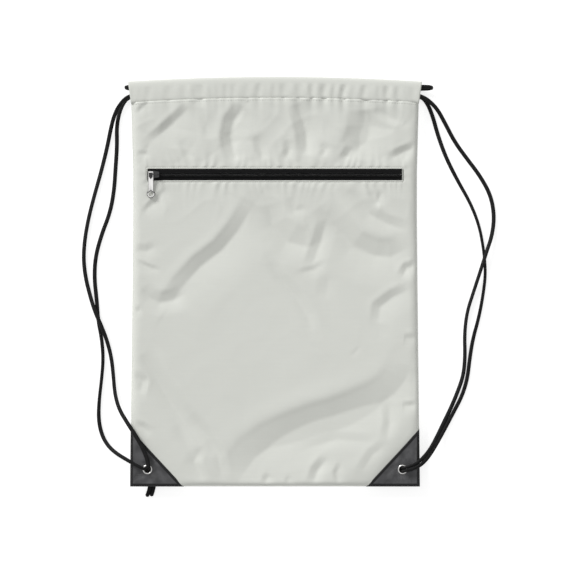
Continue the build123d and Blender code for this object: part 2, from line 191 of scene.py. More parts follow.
def braided_cord(name, points, twist, around=32, step=0.00046, lie=True):
    """Flat tubular braid swept along a route. twist gives its turn, in radians, along the cord."""
    line, stations = even_steps(nurbs_line(name, points), step)
    tangents = np.gradient(line, axis=0)
    tangents /= np.linalg.norm(tangents, axis=1)[:, None]
    side = np.cross(tangents[0], (0, 0, 1.0))
    if np.linalg.norm(side) < 0.3:
        side = np.array((1.0, 0, 0))
    sides = []
    for tangent in tangents:
        level = np.cross((0, 0, 1.0), tangent)
        side = side - tangent * np.dot(side, tangent)
        side /= np.linalg.norm(side)
        if lie and np.linalg.norm(level) > 0.5:
            level /= np.linalg.norm(level)
            side = side + 0.02 * (level if np.dot(level, side) > 0 else -level)
            side /= np.linalg.norm(side)
        sides.append(side)
    sides = np.array(sides)
    ups = np.cross(sides, tangents)
    turn = twist(stations)[:, None]
    broad = sides * np.cos(turn) + ups * np.sin(turn)
    narrow = ups * np.cos(turn) - sides * np.sin(turn)
    reach = np.hypot(cord_width / 2 * broad[:, 2], cord_thickness / 2 * narrow[:, 2])
    if lie:
        on_floor = np.clip((0.0034 - line[:, 2]) / 0.0008, 0, 1)
        line[:, 2] += on_floor * (reach + 0.00015 - tube_radius)
    grid = bmesh.new()
    layer = grid.loops.layers.uv.new("UVMap")
    bmesh.ops.create_grid(grid, x_segments=len(line) - 1, y_segments=around, size=0.5, calc_uvs=True)
    mesh = bpy.data.meshes.new(name)
    for face in grid.faces:
        for loop in face.loops:
            loop[layer].uv = ((loop.vert.co.x + 0.5) * stations[-1], loop.vert.co.y + 0.5)
    grid.to_mesh(mesh)
    grid.free()
    flat = np.empty(len(mesh.vertices) * 3)
    mesh.vertices.foreach_get("co", flat)
    flat = flat.reshape(-1, 3)
    row = np.rint((flat[:, 0] + 0.5) * (len(line) - 1)).astype(int)
    angle = (flat[:, 1] + 0.5) * 2 * math.pi
    lay_angle = stations[row] / 0.0105 * 2 * math.pi
    right_hand = (angle + lay_angle) * carriers / (2 * math.pi)
    left_hand = (angle - lay_angle) * carriers / (2 * math.pi)
    over = (np.floor(right_hand) + np.floor(left_hand)) % 2 < 1
    rib = np.where(over, np.abs(np.sin(math.pi * right_hand)), np.abs(np.sin(math.pi * left_hand)))
    swell = 0.00028 * (rib - 0.75)
    wide = cord_width / 2 - 0.0001 + swell
    thin = cord_thickness / 2 - 0.0001 + swell
    taper = np.clip(np.minimum(stations[row], stations[-1] - stations[row]) / 0.001, 0.55, 1)
    place = (
        line[row]
        + broad[row] * (wide * taper * np.cos(angle))[:, None]
        + narrow[row] * (thin * taper * np.sin(angle))[:, None]
    )
    mesh.vertices.foreach_set("co", place.ravel())
    tube = bmesh.new()
    tube.from_mesh(mesh)
    bmesh.ops.remove_doubles(tube, verts=tube.verts, dist=0.00002)
    ends = [edge for edge in tube.edges if edge.is_boundary]
    bmesh.ops.holes_fill(tube, edges=ends, sides=0)
    bmesh.ops.recalc_face_normals(tube, faces=tube.faces)
    tube.to_mesh(mesh)
    tube.free()
    return place_piece(name, mesh, cord_black), line[:: max(1, len(line) // 400)]


def place_piece(name, mesh, material, body="bag", smooth=True):
    """Link a finished mesh, give it its material and let it ride on its body."""
    piece = bpy.data.objects.new(name, mesh)
    bpy.context.scene.collection.objects.link(piece)
    mesh.materials.clear()
    mesh.materials.append(material)
    mesh.polygons.foreach_set("use_smooth", [smooth] * len(mesh.polygons))
    mesh.update()
    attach(piece, body)
    return piece


# The routes are those of the solid cords, but six points of the right back cord lie closer to its
# neighbour beside the eyelet, by up to 2.8 mm, and the right loop stands out 5.3 mm less.
left_front_route = [
    (-0.14908, -0.2223, 0.0074),
    (-0.14908, -0.2223, 0.0204),
    (-0.1504, -0.211, 0.0208),
    (-0.156, -0.197, 0.021),
    (-0.1645, -0.182, 0.0208),
    (-0.1745, -0.167, 0.0196),
    (-0.185, -0.151, 0.0116),
    (-0.1905, -0.133, 0.004),
    (-0.1922, -0.112, 0.0021),
    (-0.1946, -0.09, 0.002),
    (-0.1998, -0.0695, 0.0036),
    (-0.2064, -0.052, 0.0069),
    (-0.2142, -0.0345, 0.0069),
    (-0.2206, -0.014, 0.0036),
    (-0.2256, 0.006, 0.002),
    (-0.2279, 0.028, 0.00195),
    (-0.2262, 0.0515, 0.00195),
    (-0.2214, 0.0775, 0.00195),
    (-0.2146, 0.1035, 0.00195),
    (-0.2062, 0.133, 0.00195),
    (-0.1996, 0.16, 0.002),
    (-0.1956, 0.18, 0.0032),
    (-0.1916, 0.195, 0.0076),
    (-0.1854, 0.208, 0.0134),
    (-0.1735, 0.2208, 0.0162),
    (-0.15, 0.2214, 0.0162),
    (-0.112, 0.2226, 0.0162),
    (-0.066, 0.2212, 0.0162),
    (-0.022, 0.2224, 0.0162),
    (0.024, 0.2298, 0.0162),
    (0.073, 0.2315, 0.0162),
    (0.122, 0.231, 0.0162),
]
left_back_route = [
    (-0.15292, -0.2223, 0.0074),
    (-0.15292, -0.2223, 0.0204),
    (-0.1634, -0.2174, 0.0209),
    (-0.1745, -0.2108, 0.0202),
    (-0.187, -0.204, 0.0148),
    (-0.198, -0.1955, 0.007),
    (-0.206, -0.1825, 0.0028),
    (-0.21, -0.164, 0.002),
    (-0.2092, -0.141, 0.00195),
    (-0.2062, -0.116, 0.00195),
    (-0.2042, -0.092, 0.00195),
    (-0.206, -0.068, 0.00195),
    (-0.2104, -0.046, 0.00195),
    (-0.212, -0.022, 0.00195),
    (-0.215, 0.004, 0.00195),
    (-0.2136, 0.03, 0.00195),
    (-0.206, 0.057, 0.00195),
    (-0.1962, 0.082, 0.00195),
    (-0.1914, 0.108, 0.00195),
    (-0.1896, 0.136, 0.00195),
    (-0.1878, 0.163, 0.00195),
    (-0.1884, 0.187, 0.0021),
    (-0.183, 0.2085, 0.0029),
    (-0.1735, 0.2208, 0.0034),
    (-0.15, 0.2214, 0.0034),
    (-0.112, 0.2226, 0.0034),
    (-0.066, 0.2212, 0.0034),
    (-0.022, 0.2224, 0.0034),
    (0.024, 0.2278, 0.0034),
    (0.073, 0.2295, 0.0034),
    (0.122, 0.229, 0.0034),
]
right_front_route = [
    (0.151, -0.22038, 0.0074),
    (0.151, -0.22038, 0.0204),
    (0.1632, -0.2176, 0.0209),
    (0.1736, -0.21, 0.0202),
    (0.1836, -0.199, 0.0144),
    (0.1924, -0.184, 0.0064),
    (0.2008, -0.167, 0.0026),
    (0.209, -0.1505, 0.002),
    (0.217, -0.1315, 0.00195),
    (0.2242, -0.111, 0.00195),
    (0.226, -0.088, 0.00195),
    (0.2252, -0.062, 0.00195),
    (0.2282, -0.036, 0.00195),
    (0.236, -0.012, 0.0028),
    (0.244, 0.013, 0.0066),
    (0.2508, 0.0345, 0.0069),
    (0.258, 0.055, 0.0038),
    (0.2608, 0.078, 0.0021),
    (0.2566, 0.1025, 0.00195),
    (0.244, 0.1255, 0.00195),
    (0.228, 0.1465, 0.00195),
    (0.2136, 0.166, 0.0026),
    (0.2024, 0.187, 0.0068),
    (0.191, 0.207, 0.013),
    (0.1735, 0.2208, 0.0162),
    (0.15, 0.2214, 0.0162),
    (0.112, 0.2226, 0.0162),
    (0.066, 0.2212, 0.0162),
    (0.022, 0.2224, 0.0162),
    (-0.024, 0.2298, 0.0162),
    (-0.073, 0.2315, 0.0162),
    (-0.122, 0.231, 0.0162),
]
right_back_route = [
    (0.151, -0.22422, 0.0074),
    (0.151, -0.22422, 0.0204),
    (0.1632, -0.2218, 0.0209),
    (0.1746, -0.2153, 0.0202),
    (0.1843, -0.2038, 0.015),
    (0.1937, -0.1891, 0.007),
    (0.2032, -0.1722, 0.0028),
    (0.2124, -0.1548, 0.002),
    (0.2224, -0.136, 0.00195),
    (0.2288, -0.115, 0.00195),
    (0.2314, -0.092, 0.00195),
    (0.2352, -0.068, 0.00195),
    (0.242, -0.044, 0.00195),
    (0.2474, -0.016, 0.00195),
    (0.2506, 0.011, 0.00195),
    (0.2478, 0.04, 0.00195),
    (0.2424, 0.068, 0.00195),
    (0.2318, 0.0945, 0.00195),
    (0.2168, 0.1205, 0.00195),
    (0.203, 0.148, 0.00195),
    (0.1936, 0.174, 0.00195),
    (0.1874, 0.197, 0.0024),
    (0.1812, 0.212, 0.0032),
    (0.1735, 0.2208, 0.0034),
    (0.15, 0.2214, 0.0034),
    (0.112, 0.2226, 0.0034),
    (0.066, 0.2212, 0.0034),
    (0.022, 0.2224, 0.0034),
    (-0.024, 0.2278, 0.0034),
    (-0.073, 0.2295, 0.0034),
    (-0.122, 0.229, 0.0034),
]
left_loop = [
    (0.1224, 0.231, 0.0162),
    (0.1799, 0.231, 0.0162),
    (0.1861, 0.2299, 0.0126),
    (0.1861, 0.2301, 0.007),
    (0.1799, 0.229, 0.0034),
    (0.1224, 0.229, 0.0034),
]
right_loop = [
    (-0.1224, 0.231, 0.0162),
    (-0.1708, 0.231, 0.0162),
    (-0.1768, 0.2299, 0.0126),
    (-0.1768, 0.2301, 0.007),
    (-0.1708, 0.229, 0.0034),
    (-0.1224, 0.229, 0.0034),
]

left_tail_routes = [
    [(-0.1495, -0.2260, 0.0044), (-0.1456, -0.2400, 0.0034), (-0.1526, -0.2556, 0.0020)],
    [(-0.1456, -0.2260, 0.0036), (-0.1410, -0.2400, 0.0026), (-0.1476, -0.2550, 0.0020)],
]
right_tail_routes = [
    [(0.1490, -0.2195, 0.0044), (0.1430, -0.2100, 0.0030), (0.1340, -0.2046, 0.0020)],
    [(0.1470, -0.2235, 0.0036), (0.1384, -0.2160, 0.0026), (0.1290, -0.2114, 0.0020)],
]


def lazy_twist(phase, turns):
    """A cord that lies mostly flat and rolls over now and then."""

    def turn(stations):
        free = np.clip((stations - 0.07) / 0.06, 0, 1)
        return free * (0.3 * np.sin(stations * 21 + phase) + turns * np.sin(stations * 6.3 + 2.1 * phase))

    return turn


def join_meshes(name, pieces):
    """One mesh from several pieces, which are used up."""
    gathered = bmesh.new()
    for piece in pieces:
        gathered.from_mesh(piece.data)
    mesh = bpy.data.meshes.new(name)
    gathered.to_mesh(mesh)
    gathered.free()
    return mesh


def overhand_knot(name, centre, top):
    """A tight knot of the same braid, drawn up against the back of the eyelet."""
    turns = np.linspace(0, 2 * math.pi, 25)
    points = []
    for turn in turns:
        x = 0.0021 * (math.sin(turn) + 2 * math.sin(2 * turn))
        y = 0.00165 * (math.cos(turn) - 2 * math.cos(2 * turn))
        z = -0.0025 * math.sin(3 * turn)
        points.append((centre[0] + x, centre[1] + y, top / 2 + z))
    return braided_cord(name, points, lambda s: 0 * s, around=20, step=0.0005, lie=False)[0]


knots = {}
for name, x, tail_routes in (("left", -0.151, left_tail_routes), ("right", 0.151, right_tail_routes)):
    knot = overhand_knot(name + "_knot_braid", (x, -0.2223), 0.0104)
    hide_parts(name + "_knot")
    ends = [
        braided_cord(f"{name}_tail_{number}", route, lambda s: 0 * s, around=24)[0]
        for number, route in enumerate(tail_routes)
    ]
    joined = join_meshes(name + "_tails_braid", ends)
    tails = place_piece(name + "_tails_braid", joined, cord_black)
    for end in ends:
        bpy.data.objects.remove(end)
    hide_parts(name + "_cord_tails")
    knots[name] = (knot, tails)

strands = (
    ("left_front_strand", left_front_route, 0.3, 0.5, 0.780),
    ("left_back_strand", left_back_route, 1.9, 0.7, 0.788),
    ("right_front_strand", right_front_route, 3.0, 0.6, 0.812),
    ("right_back_strand", right_back_route, 4.4, 0.8, 0.805),
)
for name, route, phase, turns, length in strands:
    cord, path = braided_cord(name + "_braid", route, lazy_twist(phase, turns))
    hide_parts(name)
    knots[name.split("_")[0]] if "front" in name else ()
for name, route, length in (("left", left_loop, 0.134), ("right", right_loop, 0.115)):
    loop, path = braided_cord(name + "_loop_braid", route, lambda s: 0 * s + 0.2, lie=False)
    loop.parent = None
    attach(loop, name + "_loop")
    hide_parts(name + "_cord_loop")


# ---- front panel ----
# Light grey satin polyester, one piece with a slit window for the zip. It is sewn to the back at the
# sides and foot, puckers where the zip and the hem are stitched, and lies in soft folds between.
def satin_material():
    """Fine plain weave with a soft satin shine, a little uneven in tone."""
    shade = Shade(
        "satin_cloth", Sheen_Weight=0.05, Sheen_Roughness=0.4, Specular_IOR_Level=0.5
    )
    place = shade.position()
    x, y, _ = shade.axes(place)
    weft = (x * 9000).math("SINE")
    warp = (y * 9000).math("SINE")
    slub = shade.add("ShaderNodeMapping", None, {"Vector": place, "Scale": (30, 700, 30)})
    streak = shade.noise(slub, 1.0, 2.0)
    cloud = shade.noise(place, 9, 2.0)
    tone = streak * 0.35 + cloud * 0.65
    light = (0.668, 0.680, 0.634, 1)
    dark = (0.640, 0.652, 0.607, 1)
    shade.drive("Base Color", shade.ramp(tone, [(0.3, dark), (0.7, light)]))
    shade.drive("Roughness", 0.46 + 0.1 * cloud)
    shade.bump(weft * warp * 0.5 + streak * 0.6, 0.00004, 0.35)
    return shade.material


satin = satin_material()
half_height = 242.5
hem_line = 216.0
zip_line = 126.5
window_half_x = 150.2
window_half_y = 6.75
clear_of_tape = 18.95
patch_wide = 63.5
patch_high = 68.5
eyelet_x = 151.0
eyelet_y = -222.3


def smooth(t):
    t = np.clip(t, 0, 1)
    return t * t * (3 - 2 * t)


def half_width(y):
    """Half the bag's width at a height: widest at the foot, slightly waisted above the middle."""
    heights = [-243, -180, -90, 0, 80, 130, 190, 216]
    return np.interp(y, heights, [171.4, 170.8, 169.8, 168.8, 168.1, 168.2, 169.6, 170.2])


def outline(x, y):
    """Where a point of the cut cloth lies: the sides draw in a little and the hem bows upwards."""
    inward = (171.5 - half_width(y)) * smooth((np.abs(x) - 153) / 18.5)
    bow = 5.5 * (x / 171.5) ** 2 * smooth((y - 145) / 70)
    return x - np.sign(x) * inward, y - bow


def seam_distance(x, y):
    """How far in a point lies from the side and foot seams, and from those and the corner patches."""
    side = 171.5 - np.abs(x)
    foot = y + half_height
    slant = (1 / patch_wide**2 + 1 / patch_high**2) ** 0.5
    patch = (side / patch_wide + foot / patch_high - 1) / slant
    near = np.minimum(side, foot)
    reach = 5.0
    rounded = -reach * np.log(np.exp(-side / reach) + np.exp(-foot / reach) + np.exp(-(patch + 0.8) / reach))
    return near, patch, np.minimum(rounded, np.minimum(near, patch + 0.8))


def crease(x, y, points, depth, left, right):
    """A soft valley along a line: steep over left mm on its left side, and gentle on its right."""
    gentle = 1.5 + 0.5 * depth
    nearest = np.full_like(x, 1e9)
    signed = np.zeros_like(x)
    along = np.zeros_like(x)
    runs = [math.dist(a, b) for a, b in zip(points, points[1:])]
    gone = 0.0
    for (ax, ay), (bx, by), run in zip(points, points[1:], runs):
        ux, uy = (bx - ax) / run, (by - ay) / run
        t = np.clip((x - ax) * ux + (y - ay) * uy, 0, run)
        dx, dy = x - ax - t * ux, y - ay - t * uy
        gap = np.hypot(dx, dy)
        closer = gap < nearest
        nearest = np.where(closer, gap, nearest)
        signed = np.where(closer, np.where(ux * dy - uy * dx > 0, gap, -gap), signed)
        along = np.where(closer, (gone + t) / sum(runs), along)
        gone += run
    fade = np.sin(math.pi * np.clip(along, 0.02, 0.98)) ** 0.7
    share = np.where(signed > 0, signed / left, -signed / (right * gentle))
    fall = np.clip(1 - share, 0, 1)
    shoulder = np.where(signed > 0, 0.14, 0.0) * np.exp(-(((share - 1) / 0.35) ** 2))
    profile = fall ** np.where(signed > 0, 1.3, 1.9) * smooth(fall * 3) - shoulder
    return -depth * fade * profile


def wander(x, y, scale, seed):
    """Smooth unevenness between -1 and 1, from a few crossed waves."""
    a = np.sin(x / scale + 1.7 * np.sin(y / (1.9 * scale) + seed)) * np.cos(y / (1.3 * scale) + 2.3 * seed)
    b = np.sin((x + y) / (1.7 * scale) + 3.1 * seed + np.cos(x / (2.3 * scale) - seed))
    return 0.6 * a + 0.4 * b


front_creases = [
    # above the zip
    ([(-148, 165), (-122, 189), (-100, 209)], 1.7, 10, 18),
    ([(-166, 203), (-150, 216)], 0.7, 5, 6),
    ([(-44, 141), (-50, 157), (-52.5, 173), (-49, 190), (-36, 208)], 2.7, 15, 12),
    ([(-98, 143), (-112, 168)], 0.8, 7, 9),
    ([(-80, 168), (-83, 200)], 0.5, 8, 9),
    ([(-13, 143), (-17, 158), (-24, 172)], 1.3, 8, 9),
    ([(12, 143), (17, 156), (15, 168)], 1.2, 8, 6),
    ([(38, 148), (37, 178), (31, 197), (25, 212)], 2.6, 15, 12),
    ([(56, 147), (60, 157), (54, 163)], 0.9, 7, 5),
    ([(92, 148), (103, 165), (108, 184), (105, 206)], 3.2, 27, 14),
    ([(80, 141), (93, 160)], 1.2, 9, 7),
    ([(152, 190), (136, 197), (118, 208)], 1.1, 9, 12),
    ([(134, 144), (150, 153), (168, 160)], 1.6, 9, 9),
    ([(-10, 196), (2, 186), (10, 172)], 0.5, 10, 14),
    ([(-166, 152), (-148, 150)], 0.6, 5, 7),
    # below the zip
    ([(-156, 81), (-141, 96), (-127, 112)], 1.2, 6, 9),
    ([(-124, -27), (-108, -4), (-88, 18), (-62, 38), (-44, 60), (-22, 96)], 2.7, 18, 18),
    ([(-158, -7), (-148, -19), (-137, -25), (-120, -22), (-106, -13)], 1.8, 15, 8),
    ([(-165, 25), (-148, 17), (-136, 13)], 0.9, 4, 6),
    ([(-170, 38), (-152, 36), (-140, 42)], 0.9, 9, 7),
    ([(-170, -36), (-158, -33)], 0.8, 7, 6),
    ([(-8, 25), (5, 4), (25, -19), (38, -40), (45, -60)], 1.3, 13, 6),
    ([(-9, 93), (-3, 66), (14, 47), (40, 41), (54, 48)], 2.3, 26, 12),
    ([(43, 17), (54, 47), (61, 74)], 1.5, 12, 8),
    ([(28, 10), (45, 14), (60, 22)], 0.7, 6, 7),
    ([(50, 90), (59, 78), (72, 64), (91, 42), (117, 31), (136, 29), (157, 40)], 3.2, 25, 14),
    ([(84, 110), (98, 95), (111, 80), (131, 69), (158, 60)], 1.7, 12, 7),
    ([(17, 100), (23, 85), (36, 84)], 0.9, 8, 7),
    ([(113, 108), (120, 94), (128, 108)], 1.1, 7, 7),
    ([(150, 5), (156, 16), (171, 20)], 1.4, 8, 9),
    ([(122, -50), (124, -30), (140, -18), (160, -9)], 1.5, 11, 12),
    ([(152, -66), (170, -68)], 0.9, 7, 8),
    ([(60, -20), (63, 8)], 0.5, 14, 9),
    # foot
    ([(-160, -84), (-143, -112), (-122, -146), (-103, -172), (-86, -196)], 2.3, 20, 9),
    ([(-170, -108), (-157, -118), (-160, -134)], 1.2, 9, 9),
    ([(-101, -156), (-84, -178), (-68, -204), (-62, -236)], 1.3, 12, 9),
    ([(-88, -196), (-96, -214), (-84, -236)], 1.0, 9, 7),
    ([(-118, -168), (-104, -192), (-92, -212)], 0.9, 9, 9),
    ([(-168, -168), (-156, -172), (-146, -180)], 0.9, 7, 7),
    (
        [(-44, -240), (-37, -226), (-22, -207), (-2, -193), (21, -183), (47, -173), (72, -166), (98, -156)]
        + [(124, -145), (141, -133), (153, -118), (163, -96)],
        4.0, 36, 20,
    ),
    ([(45, -240), (50, -224), (62, -209)], 1.4, 10, 6),
    ([(76, -240), (73, -226), (78, -215)], 0.9, 6, 6),
    ([(-11, -241), (-8, -227)], 0.9, 7, 6),
    ([(14, -242), (17, -230)], 0.6, 5, 6),
    ([(30, -200), (72, -187), (120, -190)], 0.7, 11, 9),
    ([(132, -188), (136, -165), (134, -142)], 1.0, 9, 7),
    ([(102, -226), (116, -204), (132, -192)], 0.8, 10, 8),
    ([(150, -147), (170, -146)], 1.0, 6, 7),
    ([(90, -88), (101, -76)], 0.25, 3, 4),
]
hem_puckers = [
    (-152, 0.5, 5), (-128, 0.35, 4), (-90, 0.8, 5), (-58, 0.9, 3.4), (-49, 0.7, 3), (-33, 0.4, 3),
    (-18.5, 1.3, 3.2), (1.5, 0.9, 3.4), (10.5, 1.1, 3.6), (27, 0.4, 3), (43.5, 1.0, 3), (57.5, 1.6, 4),
    (69, 0.5, 3), (81, 1.5, 3.8), (95, 0.4, 3), (105.5, 1.1, 3.4), (123, 0.9, 3), (132.5, 1.4, 4),
    (146, 0.5, 4), (160, 0.5, 4),
]


def hem_gather(x):
    """Depth of the small tucks along the hem's stitching."""
    total = 0.12 * np.sin(x / 1.9 + 2 * np.sin(x / 13)) + 0.1 * np.sin(x / 3.1 + 1.3)
    for centre, depth, width in hem_puckers:
        total = total - 0.55 * depth * np.exp(-(((x - centre) / width) ** 2))
        total = total + 0.2 * depth * np.exp(-((np.abs(x - centre) - 2.1 * width) / width) ** 2)
    return total


def zip_gather(x, seed):
    """Small ridges where the cloth is eased on to the zip, about one a centimetre."""
    phase = x / 1.62 + 1.9 * np.sin(x / 14 + seed) + 1.1 * np.sin(x / 5.3 + 2 * seed)
    strength = 0.55 + 0.45 * np.sin(x / 23 + 1.7 * seed) * np.sin(x / 9 + seed)
    return strength * (np.abs(np.cos(phase / 2)) ** 3 - 0.35)


def front_surface(x, y):
    """The front panel's outer face, for points of the cut cloth, all in millimetres."""
    near, patch, soft = seam_distance(x, y)
    roll = 1 - np.clip(np.minimum((171.5 - np.abs(x)) / 13, (y + half_height) / 8), 0, 1)
    climb = 1 - np.clip((patch + 0.8) / 30, 0, 1)
    over_patch = 0.38 * smooth((patch + 10) / 10) + 0.62 * (1 - climb**2) ** 0.85
    z = 13.3 + 0.8 * smooth(near / 3) + 5.2 * (1 - roll**2.2) ** 0.55 * over_patch
    folds = (1.55 + 0.25 * smooth((y - 130) / 10)) * sum(crease(x, y, *line) for line in front_creases)
    folds = np.maximum(folds, -1.2 - 3.3 * smooth((np.abs(y - zip_line) - 17) / 9))
    off_zip = np.maximum(np.abs(y - zip_line) - 9, np.abs(x) - 154)
    inside = smooth(soft / 9)
    z = z + folds * inside * smooth(off_zip / 13)
    z = z + 0.22 * wander(x, y, 26, 0.7) * inside * smooth(off_zip / 10)
    z = z + 0.10 * wander(x, y, 9, 2.1) * inside * smooth(off_zip / 10)
    fine = 0.2 + 0.8 * smooth((y - 134) / 8) + 0.7 * np.exp(-(((y - 98) / 22) ** 2))
    ridge = np.clip(1 - np.abs(wander(x, y, 12, 0.4)), 0, 1) ** 5
    crest = ridge - np.clip(1 - np.abs(wander(x + 9, y, 15, 3.6)), 0, 1) ** 5
    z = z + 0.42 * fine * crest * inside * smooth(off_zip / 6)
    seam_band = np.exp(-near / 9) * smooth(near / 4) * smooth((soft - 1) / 6)
    z = z + 0.35 * wander(x * 0.6, y, 7.5, 4.0) * seam_band
    past_end = np.maximum(np.abs(x) - window_half_x, 0)
    past_edge = np.maximum(np.abs(y - zip_line) - window_half_y, 0)
    window = np.hypot(past_end, past_edge)
    above = np.where(y > zip_line, 1.0, 2.4)
    spread = np.exp(-window / 8) * smooth((window - 1.2) / 3) * smooth((159 - np.abs(x)) / 12)
    lean = (y - zip_line) * (0.3 * np.sin(x / 21 + above) - 0.1 * x / 150)
    z = z + 2.6 * spread * zip_gather(x + lean, above)
    fan = np.arctan2(y - zip_line, np.abs(x) - window_half_x + 8)
    fan_band = np.exp(-window / 9) * smooth((window - 1) / 3) * smooth((np.abs(x) - 147) / 6)
    z = z + 0.3 * np.sin(fan * 9 + np.sign(x)) * fan_band
    z = z - 0.3 * np.exp(-(((window - 1.9) / 0.7) ** 2)) + 0.3 * np.exp(-(((window - 0.9) / 0.6) ** 2))
    z = z - 0.5 * np.clip(1 - window / 0.5, 0, 1) ** 2
    over_tape = smooth((16 - np.abs(y - zip_line)) / 1.5) * smooth((154 - np.abs(x)) / 2)
    z = z + np.maximum(clear_of_tape - z, 0) * over_tape * smooth((window - 0.3) / 0.5)
    below_hem = np.maximum(hem_line - y, 0)
    gathered = 2.1 * hem_gather(x) * np.exp(-below_hem / 9)
    z = z + (gathered - 0.22 * np.exp(-((below_hem / 2.0) ** 2))) * smooth((172 - np.abs(x)) / 8)
    place_x, place_y = outline(x, y)
    return place_x, place_y, z


def cloth_net(name, low_x, high_x, low_y, high_y, step, rows=(), columns=()):
    """A flat net of cloth in millimetres, with extra rows and columns of vertices where a seam needs them."""
    net = bmesh.new()
    bmesh.ops.create_grid(
        net, x_segments=round((high_x - low_x) / step), y_segments=round((high_y - low_y) / step), size=0.5
    )
    bmesh.ops.scale(net, vec=(high_x - low_x, high_y - low_y, 1), verts=net.verts)
    bmesh.ops.translate(net, vec=((low_x + high_x) / 2, (low_y + high_y) / 2, 0), verts=net.verts)
    for normal, stations in (((0, 1, 0), rows), ((1, 0, 0), columns)):
        for station in stations:
            everything = net.verts[:] + net.edges[:] + net.faces[:]
            co = Vector(normal) * station
            bmesh.ops.bisect_plane(net, geom=everything, dist=0.02, plane_co=co, plane_no=normal)
    return net


def drop_faces(net, unwanted):
    """Delete the faces whose middle is unwanted, and the loose vertices they leave."""
    gone = [face for face in net.faces if unwanted(face.calc_center_median())]
    bmesh.ops.delete(net, geom=gone, context="FACES")


def lay_cloth(name, net, surface, face_down=False, thickness=0.0004):
    """Give the net its shape, and the cloth its thickness."""
    mesh = bpy.data.meshes.new(name)
    if face_down:
        bmesh.ops.reverse_faces(net, faces=net.faces)
    net.to_mesh(mesh)
    net.free()
    flat = np.empty(len(mesh.vertices) * 3)
    mesh.vertices.foreach_get("co", flat)
    flat = flat.reshape(-1, 3)
    shaped = np.stack(surface(flat[:, 0], flat[:, 1]), axis=1) * 0.001
    mesh.vertices.foreach_set("co", shaped.ravel())
    cloth = place_piece(name, mesh, satin)
    wall = cloth.modifiers.new("thickness", "SOLIDIFY")
    wall.thickness = thickness
    wall.offset = -1
    return cloth


zip_rows = [
    zip_line + side * (window_half_y + out) for side in (-1, 1) for out in (0, 0.35, 0.9, 1.4, 1.9, 2.4, 3.2)
]
zip_columns = [side * (window_half_x + out) for side in (-1, 1) for out in (0, 0.35, 0.9, 1.4, 1.9, 2.4, 3.2)]
hem_rows = [hem_line - 1, hem_line - 2.6, hem_line]
edge_columns = [side * (171.5 - inset) for side in (-1, 1) for inset in (0.5, 1.2)]
front_net = cloth_net(
    "front", -171.5, 171.5, -half_height, hem_line + 1.6, 2.15,
    zip_rows + hem_rows, zip_columns + edge_columns,
)
drop_faces(front_net, lambda c: abs(c.x) < window_half_x and abs(c.y - zip_line) < window_half_y)
drop_faces(front_net, lambda c: math.hypot(abs(c.x) - eyelet_x, c.y - eyelet_y) < 5.0)
front_panel = lay_cloth("front_panel_cloth", front_net, front_surface)
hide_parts("front_panel")


# ---- back panel and pocket lining ----
# The back is the same cloth, sewn to the front at the sides and foot, and lies on the floor. The
# lining behind the zip pocket is caught in the same seams.
def back_surface(x, y):
    near, _, soft = seam_distance(x, y)
    fall = 1 - np.clip(soft / 23, 0, 1)
    z = 12.7 - 0.9 * smooth(near / 3) - 11.8 * (1 - fall**2) ** 0.75
    lifted = 0.35 * (wander(x, y, 31, 5.2) + 0.7) + 0.12 * (1 + wander(x, y, 11, 3.3))
    edge = 0.35 * wander(x * 0.6, y, 8.5, 1.0) * np.exp(-near / 9) * smooth(near / 4) * smooth((soft - 1) / 6)
    below_hem = np.maximum(hem_line - y, 0)
    tucks = -hem_gather(-x) * np.exp(-below_hem / 9)
    z = np.maximum(z + lifted * smooth(soft / 12) + edge + 0.8 * tucks, 0.05)
    place_x, place_y = outline(x, y)
    return place_x, place_y, z


def lining_surface(x, y):
    near, _, _ = seam_distance(x, y)
    z = 13.0 + 0.6 * smooth(near / 12) + 0.15 * wander(x, y, 40, 1.1)
    place_x, place_y = outline(x, y)
    return place_x * (1 - 0.6 / 171.5), place_y + 0.6 * smooth(-y / 240), z


back_net = cloth_net("back", -171.5, 171.5, -half_height, hem_line, 2.9, hem_rows, edge_columns)
drop_faces(back_net, lambda c: math.hypot(abs(c.x) - eyelet_x, c.y - eyelet_y) < 5.2)
back_panel = lay_cloth("back_panel_cloth", back_net, back_surface, face_down=True)
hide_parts("back_panel")

lining_net = cloth_net("lining", -171.5, 171.5, -half_height, hem_line - 2, 7)
drop_faces(lining_net, lambda c: math.hypot(abs(c.x) - eyelet_x, c.y - eyelet_y) < 8)
pocket_lining = lay_cloth("pocket_lining_cloth", lining_net, lining_surface)
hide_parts("pocket_lining")


